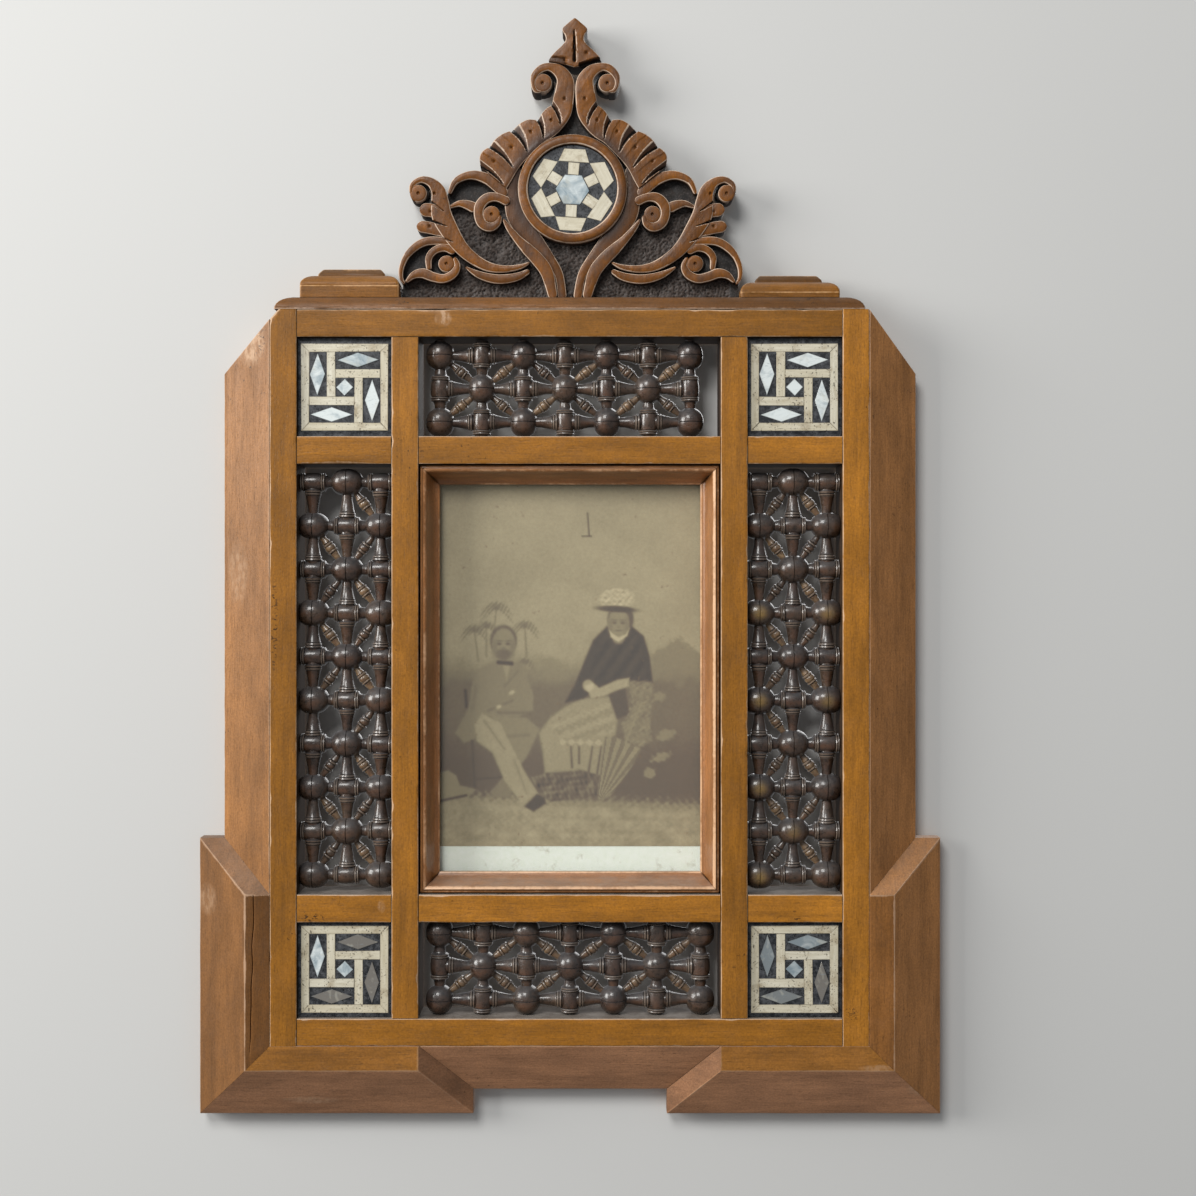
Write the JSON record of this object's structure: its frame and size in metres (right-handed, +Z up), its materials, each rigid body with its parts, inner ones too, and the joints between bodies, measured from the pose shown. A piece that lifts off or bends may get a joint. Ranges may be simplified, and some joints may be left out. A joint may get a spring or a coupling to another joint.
{
  "type": "mashrabiya picture frame",
  "caption": "Wall picture frame with turned mashrabiya lattices, bone and pearl corner tiles, sloping mouldings and a carved crest with an inlaid medallion.",
  "frame": {"origin": "on the flat back of the backing board, at the middle of the joinery grid, in the plane that lies on the wall", "axes": "+Z up, -Y out of the wall towards the viewer, +X to the viewer's right"},
  "size_m": [0.287, 0.02, 0.4231],
  "materials": {
    "golden_wood": "satin, waxed",
    "moulding_wood": "satin, waxed",
    "cornice_wood": "satin, waxed",
    "crest_wood": "satin, carved",
    "slip_wood": "satin, stained",
    "lattice_wood": "satin, turned, dusty",
    "black_mastic": "matte",
    "bone": "polished, stained",
    "mother_of_pearl": "polished",
    "backing_board": "matte",
    "sepia_print": "matte",
    "glass": "clear"
  },
  "bodies": {
    "root": {"outer_stile_left": "golden_wood", "inner_stile_left": "golden_wood", "outer_stile_right": "golden_wood", "inner_stile_right": "golden_wood", "top_rail": "golden_wood", "bottom_rail": "golden_wood", "upper_rail_left": "golden_wood", "lower_rail_left": "golden_wood", "upper_rail_centre": "golden_wood", "lower_rail_centre": "golden_wood", "upper_rail_right": "golden_wood", "lower_rail_right": "golden_wood", "side_moulding_left": "moulding_wood", "corner_upright_left": "moulding_wood", "corner_foot_left": "moulding_wood", "side_moulding_right": "moulding_wood", "corner_upright_right": "moulding_wood", "corner_foot_right": "moulding_wood", "foot_moulding_centre": "moulding_wood", "cornice": "cornice_wood", "cornice_block_left": "cornice_wood", "cornice_block_right": "cornice_wood", "crest": "crest_wood", "slip_left": "slip_wood", "slip_right": "slip_wood", "slip_top": "slip_wood", "slip_bottom": "slip_wood", "glass": "glass", "mounted_print": "sepia_print", "backing_board": "backing_board", "tile_ground_top_left": "black_mastic", "tile_bone_top_left": "bone", "tile_pearl_top_left": "mother_of_pearl", "tile_ground_top_right": "black_mastic", "tile_bone_top_right": "bone", "tile_pearl_top_right": "mother_of_pearl", "tile_ground_bottom_left": "black_mastic", "tile_bone_bottom_left": "bone", "tile_pearl_bottom_left": "mother_of_pearl", "tile_ground_bottom_right": "black_mastic", "tile_bone_bottom_right": "bone", "tile_pearl_bottom_right": "mother_of_pearl", "medallion_ground": "black_mastic", "medallion_bone": "bone", "medallion_pearl": "mother_of_pearl", "lattice_top": "lattice_wood", "lattice_bottom": "lattice_wood", "lattice_left": "lattice_wood", "lattice_right": "lattice_wood"}
  },
  "joints": []
}
